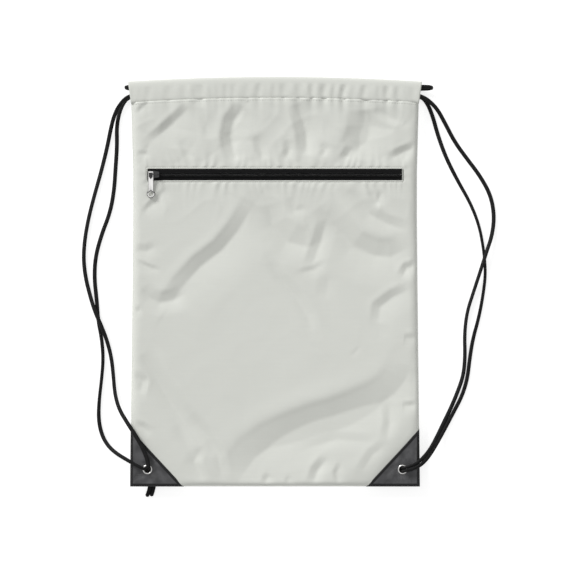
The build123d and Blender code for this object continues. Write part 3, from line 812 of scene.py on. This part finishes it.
# ---- hem channels ----
# The top of each panel is turned over and stitched down, which leaves a flat tube, open at both ends,
# for the cords. It puckers where the cords have been drawn.
def channel_tube(name, middle_z, upper_sign):
    around = 40
    net = bmesh.new()
    bmesh.ops.create_grid(net, x_segments=210, y_segments=around, size=0.5)
    mesh = bpy.data.meshes.new(name)
    net.to_mesh(mesh)
    net.free()
    flat = np.empty(len(mesh.vertices) * 3)
    mesh.vertices.foreach_get("co", flat)
    flat = flat.reshape(-1, 3)
    angle = (flat[:, 1] + 0.5) * 2 * math.pi
    across = np.sign(np.cos(angle)) * np.abs(np.cos(angle)) ** np.where(np.cos(angle) < 0, 0.3, 0.62)
    lift = np.sign(np.sin(angle)) * np.abs(np.sin(angle)) ** 0.8
    y = 229.3 + 13.3 * across
    x = 2 * flat[:, 0] * np.interp(y, [208, 216, 242], [169.8, 170.2, 173.9])
    outer = smooth((lift + 0.6) / 1.2)
    z = 3.25 * lift
    tuck = np.exp(-(((y - 227) / 4.6) ** 2)) + 0.4 * np.exp(-(((y - 216) / 4) ** 2))
    z = z + outer * tuck * 3.0 * hem_gather((x + 0.25 * (y - 227) * np.sin(x / 19)) * upper_sign)
    z = z - outer * 0.12 * np.exp(-(((y - 216.3) / 1.6) ** 2))
    z = z + 0.16 * wander(x, y, 11, 1.9 + upper_sign) * outer
    bow = 5.5 * (x / 171.5) ** 2
    above_floor = np.maximum(middle_z + upper_sign * z, 0.05)
    shaped = np.stack([x, y - bow, above_floor], axis=1) * 0.001
    mesh.vertices.foreach_set("co", shaped.ravel())
    tube = bmesh.new()
    tube.from_mesh(mesh)
    bmesh.ops.remove_doubles(tube, verts=tube.verts, dist=0.00003)
    bmesh.ops.recalc_face_normals(tube, faces=tube.faces)
    middle = tube.faces[len(tube.faces) // 2]
    if middle.normal.z * (middle.calc_center_median().z - middle_z * 0.001) < 0:
        bmesh.ops.reverse_faces(tube, faces=tube.faces)
    tube.to_mesh(mesh)
    tube.free()
    channel = place_piece(name, mesh, satin)
    wall = channel.modifiers.new("thickness", "SOLIDIFY")
    wall.thickness = 0.0004
    wall.offset = -1
    return channel


for name, middle_z, upper_sign in (("front_channel", 16.2, 1), ("back_channel", 3.4, -1)):
    channel = channel_tube(name + "_cloth", middle_z, upper_sign)
    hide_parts(name)


# ---- sewing thread ----
# Lockstitch in polyester thread: grey round the zip and along the hems, black on the patches, and an
# overlocked zigzag on the seam allowances inside the bag.
def thread_material(name, colour):
    shade = Shade(name, Roughness=0.6, Sheen_Weight=0.05, Specular_IOR_Level=0.2)
    place = shade.position()
    x, y, _ = shade.axes(place)
    ply = ((x + y) * 14000).math("SINE")
    fleck = shade.noise(place, 900, 2.0)
    darker = (*[0.72 * channel for channel in colour], 1)
    shade.drive("Base Color", shade.ramp(fleck, [(0.3, darker), (0.7, (*colour, 1))]))
    shade.bump(ply + fleck, 0.00004, 0.6)
    return shade.material


grey_thread = thread_material("grey_thread", (0.50, 0.51, 0.47))
black_thread = thread_material("black_thread", (0.022, 0.022, 0.024))


def stitch_line(points, pitch):
    """Middles and headings of the stitches along a line of straight runs, in millimetres."""
    marks = []
    for (ax, ay), (bx, by) in zip(points, points[1:]):
        run = math.dist((ax, ay), (bx, by))
        count = max(1, round(run / pitch))
        for number in range(count):
            share = (number + 0.5) / count
            marks.append((ax + (bx - ax) * share, ay + (by - ay) * share, math.atan2(by - ay, bx - ax)))
    return marks


def repeated(name, beads):
    """One mesh of many rounded beads, each with its counts of segments and its place."""
    moulds = {}
    gathered = bmesh.new()
    for segments, place in beads:
        if segments not in moulds:
            ball = bmesh.new()
            bmesh.ops.create_uvsphere(ball, u_segments=segments[0], v_segments=segments[1], radius=0.5)
            mould = bpy.data.meshes.new("mould")
            ball.to_mesh(mould)
            ball.free()
            moulds[segments] = (mould, [number for vertex in mould.vertices for number in vertex.co])
        mould, rest = moulds[segments]
        mould.vertices.foreach_set("co", rest)
        mould.transform(place)
        gathered.from_mesh(mould)
    mesh = bpy.data.meshes.new(name)
    gathered.to_mesh(mesh)
    gathered.free()
    for mould, _ in moulds.values():
        bpy.data.meshes.remove(mould)
    return mesh


def sew(name, marks, heights, length, thickness, material):
    """One small rounded bar of thread for each stitch, half sunk in the cloth."""
    places = [
        Matrix.Translation((x * 0.001, y * 0.001, z * 0.001))
        @ Matrix.Rotation(heading, 4, "Z")
        @ Matrix.Diagonal((length * 0.001, thickness * 0.001, thickness * 0.001, 1))
        @ Matrix.Rotation(math.pi / 2, 4, "Y")
        for (x, y, heading), z in zip(marks, heights)
    ]
    return place_piece(name, repeated(name, [((6, 5), place) for place in places]), material)


def on_surface(marks, surface, lift):
    """The stitches of a line on the cut cloth, moved to where the cloth lies."""
    cut = np.array([(x, y) for x, y, _ in marks])
    x, y, z = surface(cut[:, 0], cut[:, 1])
    return [(a, b, heading) for a, b, (_, _, heading) in zip(x, y, marks)], z + lift


for name, surface, lift in (("front_hem", front_surface, 0.02), ("back_hem", back_surface, -0.02)):
    marks = stitch_line([(-169, hem_line - 1.2), (169, hem_line - 1.2)], 2.9)
    marks, heights = on_surface(marks, surface, lift)
    thread = sew(name + "_thread", marks, heights, 2.2, 0.34, grey_thread)
    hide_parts(name + "_stitching")

far_x = window_half_x + 1.9
rows = [zip_line - window_half_y - 1.9, zip_line + window_half_y + 1.9]
marks = [mark for row in rows for mark in stitch_line([(-far_x, row), (far_x, row)], 2.6)]
marks, heights = on_surface(marks, front_surface, 0.05)
thread = sew("zip_thread", marks, heights, 2.1, 0.4, grey_thread)
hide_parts("zip_stitching")

for side, name in ((-1, "zip_left_bar_tack"), (1, "zip_right_bar_tack")):
    marks = [(side * 151.1, zip_line - 6.5 + 0.5 * number, 0.12 * (-1) ** number) for number in range(27)]
    thread = sew(name + "_thread", marks, [19.55] * 27, 1.9, 0.5, grey_thread)
    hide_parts(name)

for name, start, end in (
    ("left_side", (-164.8, -165), (-164.8, 205)),
    ("right_side", (164.8, -165), (164.8, 205)),
    ("bottom", (-100, -235.8), (100, -235.8)),
):
    marks = [
        (x, y, heading + 1.1 * (-1) ** number)
        for number, (x, y, heading) in enumerate(stitch_line([start, end], 2.0))
    ]
    thread = sew(name + "_overlock_thread", marks, [12.6] * len(marks), 2.6, 0.5, grey_thread)
    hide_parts(name + "_overlock")


# ---- zip ----
# Nylon coil zip: two woven black tapes under the window's folded edges, each carrying a coil whose
# loops mesh at the centre.
def zip_tape_material():
    shade = Shade("zip_tape", Roughness=0.8, Specular_IOR_Level=0.15, Sheen_Weight=0.03, Sheen_Roughness=0.5)
    place = shade.position()
    x, y, _ = shade.axes(place)
    twill = ((x * 5200 + y * 5200).math("SINE") + (y * 9000).math("SINE")) * 0.5
    fuzz = shade.noise(place, 700, 3.0)
    blacks = [(0.3, (0.003, 0.003, 0.0032, 1)), (0.75, (0.009, 0.009, 0.0095, 1))]
    shade.drive("Base Color", shade.ramp(fuzz, blacks))
    shade.bump(twill + fuzz, 0.00008, 0.7)
    return shade.material


def zip_coil_material():
    shade = Shade("zip_coil", Specular_IOR_Level=0.3)
    wear = shade.noise(shade.position(), 420, 2.0)
    blacks = [(0.3, (0.005, 0.005, 0.0055, 1)), (0.7, (0.012, 0.012, 0.013, 1))]
    shade.drive("Base Color", shade.ramp(wear, blacks))
    shade.drive("Roughness", 0.32 + 0.2 * wear)
    return shade.material


zip_tape = zip_tape_material()
zip_coil = zip_coil_material()


def tape_surface(x, y):
    across = np.abs(y - zip_line)
    ribs = 0.13 * np.abs(np.sin(math.pi * (across - 3.4) / 1.7)) * smooth((across - 3.2) / 0.6)
    sway = 0.05 * np.sin(x / 17) * smooth((12 - across) / 4)
    z = 18.62 + ribs + sway - 0.25 * np.clip(1 - (across - 0.9) / 0.5, 0, 1)
    return x, y, z


for side, half in ((1, "upper"), (-1, "lower")):
    edges = sorted((zip_line + side * 0.9, zip_line + side * 13.9))
    net = cloth_net("tape", -151.5, 151.5, edges[0], edges[1], 0.4 * 1.3)
    tape = lay_cloth(f"zip_{half}_tape_weave", net, tape_surface, thickness=0.0004)
    tape.data.materials[0] = zip_tape
    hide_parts(f"zip_{half}_tape")
    start = -149.1 + (0.625 if side > 0 else 0)
    beads = []
    for number in range(238):
        x = (start + 1.25 * number) * 0.001
        for y, size in ((1.55, (0.84, 3.0, 1.72)), (0.18, (1.12, 1.1, 1.4))):
            place = Matrix.Translation((x, (zip_line + side * y) * 0.001, 0.01962))
            form = (8, 5) if y > 1 else (8, 4)
            beads.append((form, place @ Matrix.Diagonal((*[n * 0.001 for n in size], 1))))
    name = f"zip_{half}_coil_loops"
    loops = place_piece(name, repeated(name, beads), zip_coil)
    seam = [(-149 + 1.25 * number, zip_line + side * 2.35, 0.5 * side) for number in range(239)]
    sew(f"zip_{half}_coil_thread", seam, [20.35] * 239, 1.5, 0.38, zip_tape)
    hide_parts(f"zip_{half}_coil")


# ---- slider and pull ----
# Die-cast slider and low bail in gloss black enamel, and a stamped nickel pull that hangs on it.
def enamel_material():
    shade = Shade("slider_black", Coat_Roughness=0.12, Specular_IOR_Level=0.5)
    grain = shade.noise(shade.position(), 500, 3.0)
    blacks = [(0.3, (0.010, 0.010, 0.011, 1)), (0.8, (0.022, 0.022, 0.023, 1))]
    shade.drive("Base Color", shade.ramp(grain, blacks))
    shade.drive("Roughness", 0.34 + 0.2 * grain)
    shade.drive("Coat Weight", 0.15 + 0.2 * grain)
    shade.bump(grain, 0.00005, 0.3)
    return shade.material


def nickel_material():
    shade = Shade("nickel", Metallic=1.0)
    place = shade.position()
    brushed = shade.add("ShaderNodeMapping", None, {"Vector": place, "Scale": (900, 120, 300)})
    line = shade.noise(brushed, 1.0, 2.0)
    cloud = shade.noise(place, 260, 3.0)
    x, y, _ = shade.axes(place)
    # The pull's dark rim and the chevron over its ring are painted shade: only a darker colour in the
    # plating, standing in for the dark reflection round the pull's edge and the shade in a groove that is not
    # modelled.
    aside = (x + 0.1466).math("ABSOLUTE")
    down = y - 0.1036
    from_ring = (aside * aside + down * down).math("SQRT")
    painted_rim_shade = (0.0034 - aside).math("MINIMUM", y - 0.1062).math("MAXIMUM", 0.0047 - from_ring)
    painted_chevron_shade = (down + aside * 0.8 - 0.0043).math("ABSOLUTE") + 0.0001
    elsewhere = from_ring.math("GREATER_THAN", 0.05)
    # Painted shade at the pull's rim and chevron, plus the plating's own cloudy tone; the dark stop of the
    # ramp below is that painted shade.
    face = painted_rim_shade.math("MINIMUM", painted_chevron_shade) * 1000 + cloud * 0.15 + elsewhere * 1000
    nickel_and_painted_shade = [(0.45, (0.06, 0.06, 0.06, 1)), (0.95, (0.74, 0.735, 0.72, 1))]
    shade.drive("Base Color", shade.ramp(face, nickel_and_painted_shade))
    shade.drive("Roughness", 0.26 + 0.14 * line)
    shade.bump(line * 0.5 + cloud * 0.3, 0.00001, 0.2)
    return shade.material


enamel = enamel_material()
nickel = nickel_material()


def softened(node, edge, material, body, segments=3):
    """The part's own shape with its edges eased, as casting and plating leave them."""
    mesh = bpy.data.objects[node].data.copy()
    mesh.name = node + "_eased"
    casting = bmesh.new()
    casting.from_mesh(mesh)
    bmesh.ops.remove_doubles(casting, verts=casting.verts, dist=0.000004)
    flat = math.radians(4)
    bmesh.ops.dissolve_limit(casting, angle_limit=flat, verts=casting.verts, edges=casting.edges)
    sharp = [e for e in casting.edges if len(e.link_faces) == 2 and e.calc_face_angle(0) > math.radians(28)]
    bmesh.ops.bevel(
        casting, geom=sharp, offset=edge, offset_type="OFFSET", segments=segments, profile=0.5,
        affect="EDGES", clamp_overlap=True, material=-1,
    )
    bmesh.ops.recalc_face_normals(casting, faces=casting.faces)
    casting.to_mesh(mesh)
    casting.free()
    piece = place_piece(node + "_eased", mesh, material, body)
    mesh.set_sharp_from_angle(angle=math.radians(24))
    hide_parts(node)
    return piece


softened("slider_body", 0.00022, enamel, "slider")
softened("slider_bail", 0.0004, enamel, "slider")
softened("pull_tab", 0.00045, nickel, "pull")


# ---- corner patches ----
# Grained black leatherette, a triangle on each face of both lower corners, edges turned under and
# sewn down. It is soft, and creases where the cord pulls at the eyelet.
def leatherette_material():
    shade = Shade("leatherette", Specular_IOR_Level=0.4)
    place = shade.position()
    to_edge = {"feature": "DISTANCE_TO_EDGE"}
    cells = shade.add("ShaderNodeTexVoronoi", to_edge, {"Vector": place, "Scale": 900})
    pores = cells.math("MINIMUM", 0.12)
    broad = shade.noise(place, 70, 3.0)
    fine = shade.noise(place, 1500, 2.0)
    x, y, _ = shade.axes(place)
    # The patch's middle is painted lighter, a painted sheen, which leaves a dark band about 3 mm wide along
    # its edges; the broad noise in the middle is the leather's own uneven tone.
    side = 0.1715 - x.math("ABSOLUTE")
    foot = y + 0.2425
    slanting = (1 - side * (1000 / patch_wide) - foot * (1000 / patch_high)) * 0.0466
    inside = (side.math("MINIMUM", foot).math("MINIMUM", slanting) - 0.0031) * 1600
    tone_and_painted_sheen = broad * inside.math("MINIMUM", 1.0).math("MAXIMUM", 0.0)
    blacks = [(0.05, (0.006, 0.006, 0.0065, 1)), (0.62, (0.085, 0.085, 0.089, 1))]
    shade.drive("Base Color", shade.ramp(tone_and_painted_sheen, blacks))
    shade.drive("Roughness", 0.36 + 0.18 * broad)
    shade.bump(pores * 6 + fine * 0.25, 0.00014, 0.8)
    return shade.material


leatherette = leatherette_material()
patch_edge_in = 3.5


def patch_edges(x, y):
    """Distances in from the outer side, the foot and the slanting edge of a corner patch."""
    side = 171.5 - np.abs(x)
    foot = y + half_height
    slant = (1 / patch_wide**2 + 1 / patch_high**2) ** 0.5
    return side, foot, (1 - side / patch_wide - foot / patch_high) / slant


def patch_relief(x, y, seed):
    side, foot, slant = patch_edges(x, y)
    near = np.minimum(np.minimum(side, foot), slant)
    out = np.hypot(np.abs(x) - eyelet_x, y - eyelet_y)
    turn = np.arctan2(y - eyelet_y, np.abs(x) - eyelet_x)
    field = smooth((near - patch_edge_in) / 5) * smooth((out - 6) / 5)
    pulls = 0.5 * np.sin(turn * 5 + seed + 0.6 * np.sin(out / 6)) * np.exp(-((out - 15) / 14) ** 2)
    relief = field * (pulls + 0.5 * wander(x, y, 6.5, seed) + 0.4)
    relief = relief - 0.45 * np.clip(1 - near / 0.8, 0, 1) ** 2
    relief = relief + 0.2 * smooth((patch_edge_in - near) / 0.7)
    return relief - 0.3 * np.exp(-(((near - 2.7) / 0.5) ** 2)), side, foot


def front_patch_surface(x, y):
    relief, side, foot = patch_relief(x, y, 1.3 + np.sign(x))
    drop = 1.5 * (1 - smooth(np.minimum(side, foot) / 3.2))
    place_x, place_y = outline(x, y)
    rise = 1.5 * smooth(1 - patch_edges(x, y)[2] / 10) * smooth(np.minimum(side, foot) / 12)
    place_x = place_x + 0.25 * np.sign(x) * (1 - smooth(side / 3))
    return place_x, place_y - 0.2 * (1 - smooth(foot / 3)), 15.3 + rise + relief - drop


def back_patch_surface(x, y):
    relief, side, foot = patch_relief(x, y, 3.1 + np.sign(x))
    drop = 1.2 * (1 - smooth(np.minimum(side, foot) / 3.2))
    place_x, place_y = outline(x, y)
    place_x = place_x + 0.25 * np.sign(x) * (1 - smooth(side / 3))
    return place_x, place_y - 0.2 * (1 - smooth(foot / 3)), 11.2 - relief + drop


corners = {"left": -1, "right": 1}
for side_name, side in corners.items():
    for face_name, surface in (("front", front_patch_surface), ("back", back_patch_surface)):
        name = f"{face_name}_{side_name}_patch"
        spans = sorted((side * (171.5 - patch_wide), side * 171.5))
        edge_rows = [-half_height + out for out in (0.3, 0.8)]
        edge_columns = [side * (171.5 - out) for out in (0.3, 0.8)]
        net = cloth_net(
            name, spans[0], spans[1], -half_height, -half_height + patch_high, 0.95, edge_rows, edge_columns
        )
        for inset in (0.0, 0.35, 0.8):
            slope = Vector((-side / patch_wide, 1 / patch_high, 0)).normalized()
            corner = Vector((side * (171.5 - patch_wide), -half_height, 0)) - slope * inset
            bmesh.ops.bisect_plane(
                net, geom=net.verts[:] + net.edges[:] + net.faces[:], dist=0.01,
                plane_co=corner, plane_no=slope,
                clear_outer=inset == 0,
            )
        drop_faces(net, lambda c: math.hypot(abs(c.x) - eyelet_x, c.y - eyelet_y) < 4.5)
        patch = lay_cloth(name + "_leather", net, surface, face_name == "back", thickness=0.0008)
        patch.data.materials[0] = leatherette
        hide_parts(name)
        long_side = math.hypot(patch_wide, patch_high)
        inset = 2.7
        leg_x = patch_wide - inset * (1 + (long_side + patch_wide) / patch_high)
        leg_y = leg_x * patch_high / patch_wide
        x, y = side * (171.5 - inset), -half_height + inset
        marks = stitch_line([(x, y), (x - side * leg_x, y), (x, y + leg_y), (x, y)], 2.7)
        marks, heights = on_surface(marks, surface, 0.1 if face_name == "front" else -0.1)
        thread = sew(name + "_thread", marks, heights, 2.2, 0.45, black_thread)
        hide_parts(name + "_stitching")


# ---- eyelets ----
# Nickel-plated brass: a barrel with a rolled flange, clenched into a washer behind the corner.
def spun_ring(name, x, profile, node):
    """A closed profile of (radius, height) in millimetres, spun round the eyelet's axis."""
    ring = bmesh.new()
    corners = [ring.verts.new(((x + radius) * 0.001, eyelet_y * 0.001, z * 0.001)) for radius, z in profile]
    edges = [ring.edges.new((a, b)) for a, b in zip(corners, corners[1:] + corners[:1])]
    bmesh.ops.spin(
        ring, geom=corners + edges, cent=(x * 0.001, eyelet_y * 0.001, 0), axis=(0, 0, 1), angle=2 * math.pi,
        steps=56, use_merge=True,
    )
    bmesh.ops.remove_doubles(ring, verts=ring.verts, dist=0.00001)
    bmesh.ops.recalc_face_normals(ring, faces=ring.faces)
    mesh = bpy.data.meshes.new(name)
    ring.to_mesh(mesh)
    ring.free()
    piece = place_piece(name, mesh, nickel)
    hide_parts(node)
    return piece


for side_name, side in corners.items():
    flange = [(4.85 + 0.85 * math.cos(a), 15.75 + 0.6 * math.sin(a)) for a in np.linspace(-0.6, 2.9, 12)]
    barrel = [(4.02, 15.4), (4.0, 10.6), (4.2, 10.4), (4.55, 10.5), (4.55, 15.2), (5.2, 15.35)]
    spun_ring(side_name + "_eyelet_ring", side * eyelet_x, flange + barrel, side_name + "_eyelet")
    washer = [(4.65, 10.7), (4.8, 10.45), (5.6, 10.4), (5.88, 10.6), (5.88, 11.0), (5.6, 11.2), (4.65, 11.2)]
    spun_ring(side_name + "_washer_ring", side * eyelet_x, washer, side_name + "_eyelet_washer")


# ---- floor and light ----
# A white studio table, a bright even surround, a soft key from the upper left and a softbox overhead.
floor_mesh = bpy.data.meshes.new("floor")
table = bmesh.new()
bmesh.ops.create_grid(table, x_segments=1, y_segments=1, size=3.0)
table.to_mesh(floor_mesh)
table.free()
floor = bpy.data.objects.new("floor", floor_mesh)
floor.location.z = -0.0003
bpy.context.scene.collection.objects.link(floor)
white = Shade("white_table", Roughness=0.9, Specular_IOR_Level=0.1, Emission_Strength=0.72)
haze = white.noise(white.position(), 3.0, 1.0)
white.drive("Base Color", white.ramp(haze, [(0.2, (0.50, 0.50, 0.50, 1)), (0.8, (0.52, 0.52, 0.52, 1))]))
white.bsdf.inputs["Emission Color"].default_value = (1, 1, 1, 1)
floor_mesh.materials.append(white.material)

world = bpy.data.worlds.new("surround")
world.use_nodes = True
world.node_tree.nodes["Background"].inputs["Color"].default_value = (1.0, 1.0, 1.0, 1)
world.node_tree.nodes["Background"].inputs["Strength"].default_value = 0.44
bpy.context.scene.world = world

sun = bpy.data.lights.new("key", "SUN")
sun.energy = 2.7
sun.angle = math.radians(24)
softbox = bpy.data.lights.new("softbox", "AREA")
softbox.size = 2.2
softbox.energy = 14.0
overhead = bpy.data.objects.new("softbox", softbox)
overhead.location = (0.0, 0.0, 3.3)
bpy.context.scene.collection.objects.link(overhead)
key = bpy.data.objects.new("key", sun)
key.rotation_euler = Vector((0.56, -0.72, -0.46)).to_track_quat("-Z", "Y").to_euler()
bpy.context.scene.collection.objects.link(key)
